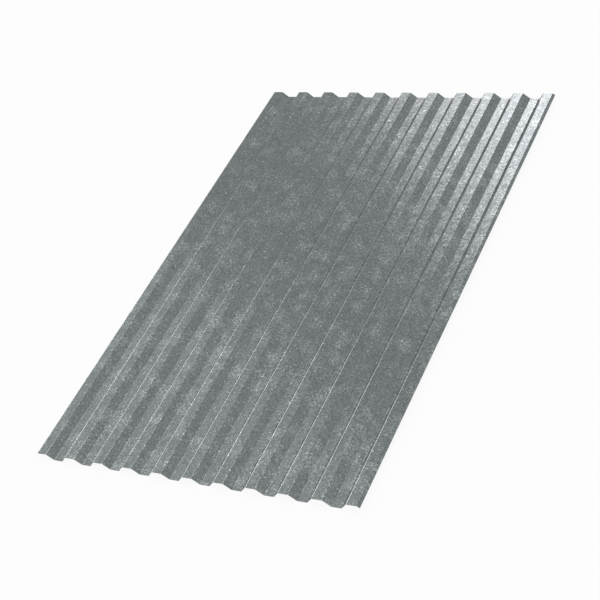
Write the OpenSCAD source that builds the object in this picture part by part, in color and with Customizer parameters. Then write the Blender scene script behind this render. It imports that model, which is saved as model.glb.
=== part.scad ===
// Trapezoidal profiled sheet, cold rolled as one piece from a strip of galvanised steel.
// The sheet lies flat with its ribs along Y. The origin is under the middle of the sheet,
// on the plane of the trough undersides. +X runs across the ribs and +Z points up.

/* [Strip] */
// Length of the sheet along its ribs
sheet_l = 1660; // [500:10:6000]
// Thickness of the steel with its zinc coating
steel_t = 0.5; // [0.4:0.05:1]
// Inside radius of every rolled bend
bend_r = 4; // [1:0.25:5]

/* [Ribs] */
// Number of ribs across the sheet
rib_n = 11; // [2:1:14]
// Distance from the middle of one rib to the next
pitch = 100; // [90:1:140]
// Overall depth, from the underside of a trough to the top of a crest
depth = 21; // [12:0.5:35]
// Width of a crest between the lines of its two webs
crest_w = 32; // [20:0.5:45]
// Width of a trough between the lines of its two webs
trough_w = 30; // [20:0.5:40]

/* [Edges] */
// Width of the lip that turns down along each long edge, measured down its slope
lip_w = 9; // [5:0.5:12]

/* [Hidden] */

// Flat steps that stand for the arc of one bend
bend_steps = 6;

// Levels of the strip's middle line in a trough and on a crest
trough_z = steel_t / 2;
crest_z = depth - steel_t / 2;

// How far a web runs across the sheet while it climbs from trough to crest, and its slope
web_run = (pitch - crest_w - trough_w) / 2;
web_angle = atan2(crest_z - trough_z, web_run);

// Radius of the middle line in a bend
middle_r = bend_r + steel_t / 2;

// Middle of rib i, with the row of ribs centred on X = 0
function rib_x(i) = (i - (rib_n - 1) / 2) * pitch;

// Corners of the middle line around rib i. The outer ribs have a lip in place of a full web,
// so the line starts and ends at the free edges of those lips.
function rib_corners(i) =
    let (
        half = crest_w / 2,
        lip = lip_w * [cos(web_angle), -sin(web_angle)],
        reach = [half, crest_z],
        left_foot = i == 0 ? reach + lip : [half + web_run, trough_z],
        right_foot = i == rib_n - 1 ? reach + lip : [half + web_run, trough_z]
    )
    [for (p = [[-left_foot.x, left_foot.y], [-half, crest_z], reach, right_foot]) [rib_x(i) + p.x, p.y]];

middle_line = [for (i = [0 : rib_n - 1]) each rib_corners(i)];
last = len(middle_line) - 1;

// Direction of the straight stretch from corner i to the next one, in degrees
function heading(i) =
    let (step = middle_line[i + 1] - middle_line[i])
    atan2(step.y, step.x);

// Unit vector to the left of a heading, which is the upper side of the sheet
function upward(angle) = [-sin(angle), cos(angle)];

// Face of the strip in the bend at corner i. Both faces turn about the same centre, so the inner
// one has bend_r and the outer one bend_r + steel_t. side is the distance above the middle line.
function bend_points(i, side) =
    let (
        start = heading(i - 1),
        turn = heading(i) - start,
        way = sign(turn),
        centre = middle_line[i] + way * middle_r / cos(turn / 2) * upward(start + turn / 2)
    )
    [for (k = [0 : bend_steps])
        centre - way * (middle_r - way * side) * upward(start + turn * k / bend_steps)];

// Whole face of the strip on one side of the middle line, from the left edge to the right one
function face_points(side) = [
    middle_line[0] + side * upward(heading(0)),
    for (i = [1 : last - 1]) each bend_points(i, side),
    middle_line[last] + side * upward(heading(last - 1))
];

function reversed(points) = [for (i = [len(points) - 1 : -1 : 0]) points[i]];

// Cross-section of the rolled strip, with X across the sheet and Y up
module section() {
    polygon(concat(face_points(steel_t / 2), reversed(face_points(-steel_t / 2))));
}

module profiled_sheet() {
    color("#7b8585")
        rotate([90, 0, 0])
            linear_extrude(height = sheet_l, center = true)
                section();
}

profiled_sheet();
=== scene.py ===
import math

import bpy
import numpy as np
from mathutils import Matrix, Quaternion, Vector


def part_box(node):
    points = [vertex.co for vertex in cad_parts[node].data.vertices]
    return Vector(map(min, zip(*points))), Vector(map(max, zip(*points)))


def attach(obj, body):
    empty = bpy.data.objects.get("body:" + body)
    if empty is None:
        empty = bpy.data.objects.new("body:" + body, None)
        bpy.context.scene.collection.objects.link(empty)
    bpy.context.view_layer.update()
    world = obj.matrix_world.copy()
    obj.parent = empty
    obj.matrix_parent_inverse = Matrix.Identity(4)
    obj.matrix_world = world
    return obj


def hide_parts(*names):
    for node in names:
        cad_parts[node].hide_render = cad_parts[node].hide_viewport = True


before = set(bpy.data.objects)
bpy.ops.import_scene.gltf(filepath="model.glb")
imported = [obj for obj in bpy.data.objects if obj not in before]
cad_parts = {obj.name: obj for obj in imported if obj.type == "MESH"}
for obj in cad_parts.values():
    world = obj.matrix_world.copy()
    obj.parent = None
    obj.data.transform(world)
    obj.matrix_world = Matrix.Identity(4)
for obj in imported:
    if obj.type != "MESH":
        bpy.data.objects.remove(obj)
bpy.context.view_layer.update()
sheetLow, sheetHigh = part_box("profiled_sheet")
print("frame loaded, sheet box", tuple(round(side, 4) for side in sheetHigh - sheetLow))

scene = bpy.context.scene
scene.view_settings.view_transform = "Standard"


# The camera, at the photograph's viewing angle

cameraView = {
    "lens": 86.33,  # mm on a 36 mm sensor
    "aim": (0.0225, -0.1314, 0.0),  # the floor at the middle of the picture
    "distance": 4.264,
    "azimuth": 40.27,  # degrees to the right of the ribs' near end
    "elevation": 39.85,
    "lean": 23.47,  # degrees that the camera leans to its right
}


def pointFrom(azimuth, elevation):
    # unit vector towards a viewer who stands that far round to the right of -Y and that far up
    turn, lift = math.radians(azimuth), math.radians(elevation)
    return Vector((math.sin(turn) * math.cos(lift), -math.cos(turn) * math.cos(lift), math.sin(lift)))


def addCamera(view):
    data = bpy.data.cameras.new("photoCamera")
    data.lens = view["lens"]
    camera = bpy.data.objects.new("photoCamera", data)
    scene.collection.objects.link(camera)
    back = pointFrom(view["azimuth"], view["elevation"])
    camera.location = Vector(view["aim"]) + back * view["distance"]
    camera.rotation_mode = "QUATERNION"
    lean = Quaternion((0, 0, 1), -math.radians(view["lean"]))
    camera.rotation_quaternion = (-back).to_track_quat("-Z", "Y") @ lean
    scene.camera = camera


addCamera(cameraView)
print("camera placed")


# Small helpers for node trees


def addNode(tree, kind, settings, inputs):
    # inputs go by name or number; a value is set on the socket, another node's output is linked to it
    node = tree.nodes.new(kind)
    for name, value in settings.items():
        setattr(node, name, value)
    for key, value in inputs.items():
        if isinstance(value, bpy.types.NodeSocket):
            tree.links.new(value, node.inputs[key])
        else:
            node.inputs[key].default_value = value
    return node


def mathOf(tree, operation, *values):
    return addNode(tree, "ShaderNodeMath", {"operation": operation}, dict(enumerate(values))).outputs[0]


def vectorOf(tree, operation, first, second):
    inputs = {0: first, "Scale" if operation == "SCALE" else 1: second}
    return addNode(tree, "ShaderNodeVectorMath", {"operation": operation}, inputs).outputs[0]


def rangeOf(tree, value, low, high, toLow=0.0, toHigh=1.0):
    # value eased from low..high to toLow..toHigh and held there outside
    inputs = {"Value": value, "From Min": low, "From Max": high, "To Min": toLow, "To Max": toHigh}
    return addNode(tree, "ShaderNodeMapRange", {"interpolation_type": "SMOOTHSTEP"}, inputs).outputs[0]


def noiseOf(tree, place, scale, detail, output="Fac"):
    inputs = {"Vector": place, "Scale": scale, "Detail": detail}
    return addNode(tree, "ShaderNodeTexNoise", {"noise_dimensions": "2D"}, inputs).outputs[output]


def cellsOf(tree, place, scale):
    inputs = {"Vector": place, "Scale": scale}
    return addNode(tree, "ShaderNodeTexVoronoi", {"voronoi_dimensions": "2D"}, inputs).outputs


def chanceOf(tree, cells):
    # three numbers from 0 to 1 that each cell has for its own
    return addNode(tree, "ShaderNodeSeparateColor", {}, {"Color": cells["Color"]}).outputs


def mixOf(tree, share, first, second):
    # the node's sockets 6 and 7 take its two colours, and its output 2 gives the mixed one
    return addNode(tree, "ShaderNodeMix", {"data_type": "RGBA"}, {0: share, 6: first, 7: second}).outputs[2]


# Galvanised steel. Counts are per metre on the flat strip. A mark goes from nothing at the first value of
# its edge to full at the second. Weights are shares of the way from dark to pale.

zinc = {
    "dark": (0.163, 0.181, 0.1893, 1),
    "pale": (0.475, 0.522, 0.509, 1),
    "bareSteel": (0.20, 0.20, 0.20, 1),  # on cut edges
    "roughness": (0.135, 0.085),  # from dark to pale
    "curl": (45.0, 0.016),  # count and reach of the curls that bend the pattern
    "tuft": 18.0,  # places where the pale crystals gather
    "tuftShare": 0.85,  # of those places that have a tuft
    "tuftEdge": (0.70, 0.05),  # distance from the middle, in cells
    "crystal": 95.0,  # grains of the spangle
    "strokes": (330.0, 80.0, 0.0),  # across and along each grain
    "featherEdge": (0.46, 0.64),  # level of the strokes
    "wisp": 105.0,  # thin pale strands
    "wispEdge": (0.06, 0.02),  # distance of their noise from its middle value
    "fleck": 190.0,
    "fleckEdge": (0.55, 0.67),  # level of their noise
    "dot": 120.0,
    "dotShare": 0.07,
    "dotEdge": (0.30, 0.15),  # distance from the middle, in cells
    "grain": 340.0,
    "facet": (200.0, 0.037),  # count of the small faces that glint and how much each leans its own way
    "ground": -0.147,  # level before the weights are added
    "weights": {
        "tone": 0.12,
        "feather": 0.11,
        "featherInTuft": 0.17,
        "wisp": 0.14,
        "wispInTuft": 0.30,
        "fleck": 0.27,
        "fleckInTuft": 0.36,
        "grain": 0.27,
        "dot": 0.8,
    },
}


def galvanisedSteel(zinc):
    material = bpy.data.materials.new("galvanisedSteel")
    material.use_nodes = True
    tree = material.node_tree
    surface = tree.nodes["Principled BSDF"]
    surface.inputs["Metallic"].default_value = 1.0
    mean = (0.5, 0.5, 0.5)  # of a noise's colours and of the cells' colours

    strip = addNode(tree, "ShaderNodeUVMap", {"uv_map": "strip"}, {}).outputs["UV"]
    curlCount, curlReach = zinc["curl"]
    curl = vectorOf(tree, "SUBTRACT", noiseOf(tree, strip, curlCount, detail=2.0, output="Color"), mean)
    place = vectorOf(tree, "ADD", strip, vectorOf(tree, "SCALE", curl, curlReach))

    tufts = cellsOf(tree, place, zinc["tuft"])
    strength = rangeOf(tree, chanceOf(tree, tufts)[0], 1 - zinc["tuftShare"], 1.0)
    tuft = mathOf(tree, "MULTIPLY", strength, rangeOf(tree, tufts["Distance"], *zinc["tuftEdge"]))

    # every grain has its own tone, and strokes in its own direction
    crystal = cellsOf(tree, place, zinc["crystal"])
    chance = chanceOf(tree, crystal)
    spin = {
        "Vector": vectorOf(tree, "SUBTRACT", place, crystal["Position"]),
        "Angle": mathOf(tree, "MULTIPLY", chance[1], math.tau),
    }
    turned = addNode(tree, "ShaderNodeVectorRotate", {"rotation_type": "Z_AXIS"}, spin).outputs[0]
    strokes = noiseOf(tree, vectorOf(tree, "MULTIPLY", turned, zinc["strokes"]), 1.0, detail=2.0)
    feather = rangeOf(tree, strokes, *zinc["featherEdge"])

    # strands lie where a noise passes its middle value
    strand = mathOf(tree, "SUBTRACT", noiseOf(tree, place, zinc["wisp"], detail=3.0), 0.5)
    wisp = rangeOf(tree, mathOf(tree, "ABSOLUTE", strand), *zinc["wispEdge"])

    fleck = rangeOf(tree, noiseOf(tree, place, zinc["fleck"], detail=1.0), *zinc["fleckEdge"])
    dots = cellsOf(tree, strip, zinc["dot"])
    isDot = mathOf(tree, "GREATER_THAN", chanceOf(tree, dots)[0], 1 - zinc["dotShare"])
    masks = {
        "tone": chance[0],
        "feather": feather,
        "featherInTuft": mathOf(tree, "MULTIPLY", tuft, feather),
        "wisp": wisp,
        "wispInTuft": mathOf(tree, "MULTIPLY", tuft, wisp),
        "fleck": fleck,
        "fleckInTuft": mathOf(tree, "MULTIPLY", tuft, fleck),
        "grain": noiseOf(tree, strip, zinc["grain"], detail=2.0),
        "dot": mathOf(tree, "MULTIPLY", isDot, rangeOf(tree, dots["Distance"], *zinc["dotEdge"])),
    }
    level = zinc["ground"]
    for name, weight in zinc["weights"].items():
        level = mathOf(tree, "MULTIPLY_ADD", masks[name], weight, level)

    cut = addNode(tree, "ShaderNodeAttribute", {"attribute_name": "cutEdge"}, {}).outputs["Fac"]
    tint = mixOf(tree, cut, mixOf(tree, level, zinc["dark"], zinc["pale"]), zinc["bareSteel"])
    tree.links.new(tint, surface.inputs["Base Color"])
    roughness = rangeOf(tree, level, 0.0, 1.0, *zinc["roughness"])
    tree.links.new(roughness, surface.inputs["Roughness"])

    facetCount, facetLean = zinc["facet"]
    facet = vectorOf(tree, "SUBTRACT", cellsOf(tree, place, facetCount)["Color"], mean)
    upright = addNode(tree, "ShaderNodeNewGeometry", {}, {}).outputs["Normal"]
    leaning = vectorOf(tree, "ADD", upright, vectorOf(tree, "SCALE", facet, facetLean))
    tree.links.new(vectorOf(tree, "NORMALIZE", leaning, (0.0, 0.0, 0.0)), surface.inputs["Normal"])
    return material


# The rolled sheet

sheetSizes = {
    "ribs": 11,
    "pitch": 0.100,  # middle of one rib to the next
    "crest": 0.032,  # between the lines of its two webs
    "trough": 0.030,
    "steel": 0.0005,
    "bend": 0.004,  # inside radius
    "lip": 0.009,  # down the slope of each long edge
    "bendSteps": 20,
    "flatSteps": 2,
    "edgeHold": 0.0004,  # a row of points this near each bend keeps the flats flat
    "lengthSteps": 20,
    "sharpAngle": 40.0,  # degrees, and what turns more is shaded as an edge
    "underShift": 1.7,  # moves the zinc's pattern on the underside
}


def stripLine(sizes, depth):
    # Middle line of the strip, across the sheet: straight from corner to corner of the trapezoids, each
    # corner rounded by an arc that touches both its straights. Gives places (x, z), unit normals on the
    # upper side, and the distance run along the line.
    half, foot = sizes["crest"] / 2, (sizes["pitch"] - sizes["trough"]) / 2
    low, high = sizes["steel"] / 2, depth - sizes["steel"] / 2
    ribX = (np.arange(sizes["ribs"]) - (sizes["ribs"] - 1) / 2) * sizes["pitch"]
    across = ribX[:, None] + np.array([-foot, -half, half, foot])
    corners = np.stack([across, np.tile([low, high, high, low], (len(ribX), 1))], -1)
    slope = math.atan2(high - low, foot - half)
    lip = sizes["lip"] * np.array([math.cos(slope), -math.sin(slope)])
    corners[0, 0] = corners[0, 1] + lip * (-1, 1)
    corners[-1, -1] = corners[-1, -2] + lip
    corners = corners.reshape(-1, 2)

    step = np.diff(corners, axis=0)
    heading = np.arctan2(step[:, 1], step[:, 0])
    turn = np.diff(heading)
    radius = np.sign(turn) * (sizes["bend"] + sizes["steel"] / 2)

    def leftOf(angle):
        # unit vectors to the left of a heading, which is the sheet's upper side
        return np.stack([-np.sin(angle), np.cos(angle)], -1)

    centre = corners[1:-1] + (radius / np.cos(turn / 2))[:, None] * leftOf(heading[:-1] + turn / 2)
    bendAngle = heading[:-1, None] + turn[:, None] * np.linspace(0, 1, sizes["bendSteps"] + 1)
    bend = centre[:, None] - radius[:, None, None] * leftOf(bendAngle)

    start = np.concatenate([corners[:1], bend[:, -1]])
    end = np.concatenate([bend[:, 0], corners[-1:]])
    hold = sizes["edgeHold"] / np.linalg.norm(end - start, axis=1)[:, None]
    share = np.linspace(0, 1, sizes["flatSteps"] + 1) * (1 - 2 * hold) + hold
    flat = start[:, None] + share[..., None] * (end - start)[:, None]
    flatAngle = np.repeat(heading[:, None], sizes["flatSteps"] + 1, axis=1)

    body = np.concatenate([flat[:-1], bend], axis=1).reshape(-1, 2)
    places = np.concatenate([corners[:1], body, flat[-1], corners[-1:]])
    bodyAngle = np.concatenate([flatAngle[:-1], bendAngle], axis=1).ravel()
    angles = np.concatenate([heading[:1], bodyAngle, flatAngle[-1], heading[-1:]])
    run = np.concatenate([[0], np.cumsum(np.linalg.norm(np.diff(places, axis=0), axis=1))])
    return places, leftOf(angles), run


def addSheet(sizes, material):
    # The section's upper and lower faces, half the steel to each side of the middle line, form one closed
    # loop that is carried along Y; the two ends are closed by faces between the upper and lower points.
    line, normal, run = stripLine(sizes, sheetHigh.z - sheetLow.z)
    upper, lower = line + normal * sizes["steel"] / 2, line - normal * sizes["steel"] / 2
    loop = np.concatenate([upper, lower[::-1]])
    loopRun = np.concatenate([run, run[::-1] + sizes["underShift"]])
    along = np.linspace(sheetLow.y, sheetHigh.y, sizes["lengthSteps"] + 1)
    count, rows = len(loop), len(along)
    points = np.empty((rows, count, 3))
    points[..., 0] = loop[:, 0]
    points[..., 1] = along[:, None]
    points[..., 2] = loop[:, 1]

    near = np.arange(count)
    after = np.roll(near, -1)
    first = (np.arange(rows - 1) * count)[:, None]
    skin = np.stack([first + near, first + after, first + count + after, first + count + near], -1)
    top = np.arange(len(run) - 1)
    bottom = count - 1 - top
    cap = np.stack([top, bottom, bottom - 1, top + 1], -1)
    faces = np.concatenate([skin.reshape(-1, 4), cap, cap[:, ::-1] + (rows - 1) * count])

    # the shorn edges: both long ones, where the loop turns from one face to the other, and both ends
    longEdges = np.isin(near, (len(run) - 1, count - 1))
    cutEdge = np.concatenate([np.tile(longEdges, rows - 1), np.ones(2 * len(cap), bool)])

    mesh = bpy.data.meshes.new("galvanisedSheet")
    mesh.vertices.add(rows * count)
    mesh.vertices.foreach_set("co", points.ravel())
    mesh.loops.add(faces.size)
    mesh.loops.foreach_set("vertex_index", faces.ravel())
    mesh.polygons.add(len(faces))
    mesh.polygons.foreach_set("loop_start", np.arange(0, faces.size, 4))
    mesh.polygons.foreach_set("use_smooth", np.ones(len(faces), bool))
    mesh.update(calc_edges=True)
    mesh.set_sharp_from_angle(angle=math.radians(sizes["sharpAngle"]))
    mesh.validate()

    # the strip as it was before it was rolled: the run across it and the length along it
    strip = np.stack([np.tile(loopRun, rows), np.repeat(along, count)], -1)
    layer = mesh.uv_layers.new(name="strip")
    layer.uv.foreach_set("vector", strip[faces.ravel()].ravel())
    mesh.attributes.new("cutEdge", "FLOAT", "FACE").data.foreach_set("value", cutEdge.astype(float))
    mesh.materials.append(material)

    piece = bpy.data.objects.new("galvanisedSheet", mesh)
    scene.collection.objects.link(piece)
    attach(piece, "root")
    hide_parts("profiled_sheet")
    return piece


sheet = addSheet(sheetSizes, galvanisedSteel(zinc))
print("sheet rolled,", len(sheet.data.polygons), "faces")


# Floor

floorLook = {
    "size": 60.0,
    "colour": (0.95, 0.95, 0.95, 1),
    "roughness": 0.9,
    "drop": 0.0002,  # below the troughs
    "lift": 0.91,  # share of plain white that the camera and reflections see
}


def addFloor(look):
    # A level square. What is seen of it is plain white and, for the rest, the lit surface with its shadow.
    half, level = look["size"] / 2, -look["drop"]
    corners = [(x * half, y * half, level) for x, y in ((-1, -1), (1, -1), (1, 1), (-1, 1))]
    mesh = bpy.data.meshes.new("floor")
    mesh.from_pydata(corners, [], [(0, 1, 2, 3)])
    material = bpy.data.materials.new("paleFloor")
    material.use_nodes = True
    tree = material.node_tree
    surface = tree.nodes["Principled BSDF"]
    surface.inputs["Base Color"].default_value = look["colour"]
    surface.inputs["Roughness"].default_value = look["roughness"]
    surface.inputs["Specular IOR Level"].default_value = 0.0
    ray = addNode(tree, "ShaderNodeLightPath", {}, {}).outputs
    seen = mathOf(tree, "MAXIMUM", ray["Is Camera Ray"], ray["Is Glossy Ray"])
    seen = mathOf(tree, "MAXIMUM", seen, ray["Is Transmission Ray"])
    white = addNode(tree, "ShaderNodeEmission", {}, {"Strength": 1.0}).outputs[0]
    share = mathOf(tree, "MULTIPLY", seen, look["lift"])
    both = addNode(tree, "ShaderNodeMixShader", {}, {0: share, 1: surface.outputs[0], 2: white})
    tree.links.new(both.outputs[0], tree.nodes["Material Output"].inputs["Surface"])
    mesh.materials.append(material)
    floor = bpy.data.objects.new("floor", mesh)
    scene.collection.objects.link(floor)


addFloor(floorLook)
print("floor laid")


# Light: a pale room and soft boxes that face the sheet

room = {
    "level": 0.675,
    "colour": (1.0, 1.0, 1.0, 1),
    "reach": 200.0,  # distance of the boxes, so far that all of the sheet sees them at the same angle
}

# Bearings are in degrees round to the right of +Y. A spread is the width and height in degrees seen from
# the sheet. The glow is the light of the box as a camera would see it, where 1 is white. A fade says where
# the light is nothing and where it is full, as shares of the width from the right as the sheet sees it.
softBoxes = {
    "farBank": {
        "bearing": -28.6,
        "elevation": 36.8,
        "spread": (10.8, 13.8),
        "glow": 3.24,
        "lean": 14.0,
        "fade": (1.0, 0.056),
        "colour": (1.0, 0.935, 0.957),
    },
    "leftStrip": {
        "bearing": -58.5,
        "elevation": 14.0,
        "spread": (22.3, 24.0),
        "glow": 4.6,
        "fade": (0.0, 0.53),
    },
    "leftWall": {
        "bearing": -54.5,
        "elevation": 42.0,
        "spread": (17.8, 24.8),
        "glow": 0.357,
        "lean": 9.0,
        "colour": (1.0, 0.957, 0.957),
    },
    "rightWall": {
        "bearing": 48.2,
        "elevation": 26.0,
        "spread": (53.0, 47.5),
        "glow": 0.095,
    },
    "topBox": {
        "bearing": -38.2,
        "elevation": 59.6,
        "spread": (10.0, 10.2),
        "glow": 4.7,
        "lean": -45.0,
    },
    "midBox": {
        "bearing": -43.8,
        "elevation": 23.5,
        "spread": (6.2, 13.0),
        "glow": 0.35,
    },
    "backStrip": {
        "bearing": 2.0,
        "elevation": 13.0,
        "spread": (40.0, 14.0),
        "glow": 0.8,
        "fade": (0.0, 1.0),
    },
    "frontWall": {
        "bearing": 165.0,
        "elevation": 36.0,
        "spread": (50.0, 30.0),
        "glow": 0.9,
        "fade": (0.0, 1.0),
    },
}


def addSoftBox(name, box, reach):
    data = bpy.data.lights.new(name, "AREA")
    data.shape = "RECTANGLE"
    data.size, data.size_y = (2 * reach * math.tan(math.radians(side / 2)) for side in box["spread"])
    data.energy = math.pi * data.size * data.size_y * box["glow"]
    data.color = box.get("colour", (1, 1, 1))
    if "fade" in box:
        data.use_nodes = True
        tree = data.node_tree
        place = addNode(tree, "ShaderNodeNewGeometry", {}, {}).outputs["Parametric"]
        across = addNode(tree, "ShaderNodeSeparateXYZ", {}, {0: place}).outputs["X"]
        tree.links.new(rangeOf(tree, across, *box["fade"]), tree.nodes["Emission"].inputs["Strength"])
    lamp = bpy.data.objects.new(name, data)
    towards = pointFrom(180 - box["bearing"], box["elevation"])
    lamp.location = towards * reach
    lamp.rotation_mode = "QUATERNION"
    lean = Quaternion((0, 0, 1), math.radians(box.get("lean", 0.0)))
    lamp.rotation_quaternion = (-towards).to_track_quat("-Z", "Y") @ lean
    scene.collection.objects.link(lamp)


def addRoom(room):
    world = bpy.data.worlds.new("room")
    scene.world = world
    world.use_nodes = True
    background = world.node_tree.nodes["Background"]
    background.inputs["Color"].default_value = room["colour"]
    background.inputs["Strength"].default_value = room["level"]


addRoom(room)
for name, box in softBoxes.items():
    addSoftBox(name, box, room["reach"])
print("light set")
